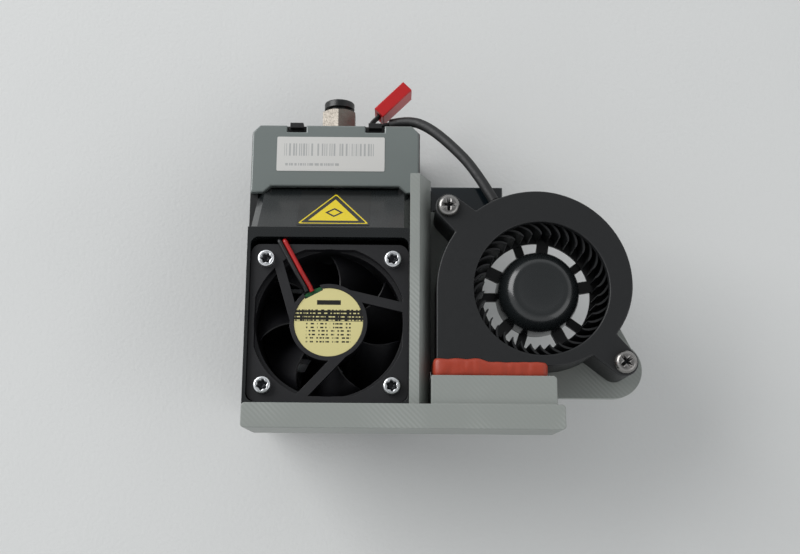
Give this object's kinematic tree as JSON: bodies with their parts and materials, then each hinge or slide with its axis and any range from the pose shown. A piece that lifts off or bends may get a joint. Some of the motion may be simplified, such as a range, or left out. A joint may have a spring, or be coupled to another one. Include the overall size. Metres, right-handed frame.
{
  "type": "hotend assembly",
  "caption": "Boxed hot end with an axial cooling fan, a push-fit filament fitting and a side blower on a printed bracket that feeds an air duct below the nozzle.",
  "frame": {"origin": "on the flat back face, straight behind the cooling fan's axis", "axes": "+Z out of the back face towards the fan's front, +Y towards the filament fitting, +X towards the blower"},
  "size_m": [0.1034, 0.0979, 0.052],
  "materials": {
    "shell_abs": "fine moulded grain",
    "cover_abs": "satin moulded",
    "shroud_abs": "satin moulded",
    "zinc_steel": "zinc plated",
    "white_label": "printed film",
    "caution_film": "printed film",
    "fan_pbt": "moulded",
    "cream_foil": "printed foil",
    "green_laminate": "solder mask",
    "copper_winding": "enamelled wire",
    "bearing_bronze": "sintered",
    "ferrite": "pressed",
    "bright_steel": "bright plated",
    "red_lead": "pvc insulation",
    "black_lead": "pvc insulation",
    "cast_aluminium": "machined",
    "nozzle_brass": "turned",
    "silicone": "moulded",
    "ptfe": "extruded",
    "contact_plastic": "moulded",
    "nickel_brass": "nickel plated",
    "collar_acetal": "moulded",
    "black_rubber": "moulded",
    "grey_print": "fused filament layers",
    "plate_acrylic": "polished",
    "blower_pbt": "fine grain",
    "dark_steel": "blackened",
    "orange_tape": "self-fusing silicone",
    "cable_sleeve": "braided sleeve",
    "red_nylon": "moulded",
    "contact_tin": "tin plated"
  },
  "bodies": {
    "module": {"rear_shell": "shell_abs", "front_cover": "cover_abs", "fan_shroud": "shroud_abs", "shell_screws": "zinc_steel", "id_label": "white_label", "caution_label": "caution_film", "fan_frame": "fan_pbt", "fan_label": "cream_foil", "fan_circuit_board": "green_laminate", "fan_stator": "copper_winding", "fan_bearings": "bearing_bronze", "fan_screws": "bright_steel", "fan_lead_red": "red_lead", "fan_lead_black": "black_lead", "heatsink": "cast_aluminium", "heatbreak": "zinc_steel", "heater_block": "cast_aluminium", "heater_cartridge": "zinc_steel", "thermistor": "zinc_steel", "nozzle": "nozzle_brass", "heater_insulation": "silicone", "ptfe_liner": "ptfe", "heater_leads": "black_lead", "set_screw": "zinc_steel", "control_board": "green_laminate", "contact_block": "contact_plastic", "board_screws": "zinc_steel", "fitting_body": "nickel_brass", "fitting_seal": "black_rubber", "air_duct": "grey_print", "blower_bracket": "grey_print", "top_mount_plate": "plate_acrylic", "blower_base": "blower_pbt", "blower_cover": "blower_pbt", "blower_bearing": "bearing_bronze", "blower_stator": "copper_winding", "blower_circuit_board": "green_laminate", "blower_screws": "dark_steel", "blower_nuts": "zinc_steel", "outlet_tape": "orange_tape", "blower_cable": "cable_sleeve", "cable_gland": "black_rubber", "cable_leads": "black_lead", "connector_housing": "red_nylon", "connector_contacts": "contact_tin"},
    "fan_rotor": {"fan_rotor": "fan_pbt", "fan_shaft": "zinc_steel", "fan_magnet": "ferrite"},
    "blower_rotor": {"blower_impeller": "blower_pbt", "blower_magnet": "ferrite", "blower_shaft": "zinc_steel"},
    "collet": {"fitting_collet": "collar_acetal"}
  },
  "joints": [
    {"name": "fan_spin", "type": "hinge", "parent": "module", "child": "fan_rotor", "pos_m": [0, 0, 0.03], "axis": [0, 0, 1], "continuous": true},
    {"name": "blower_spin", "type": "hinge", "parent": "module", "child": "blower_rotor", "pos_m": [0.053, 0.0083, 0.04], "axis": [0, 0, 1], "continuous": true},
    {"name": "collet_press", "type": "slide", "parent": "module", "child": "collet", "axis": [0, -1, 0], "range_m": [0, 0.0009], "stiffness_N_per_m": 1500}
  ]
}
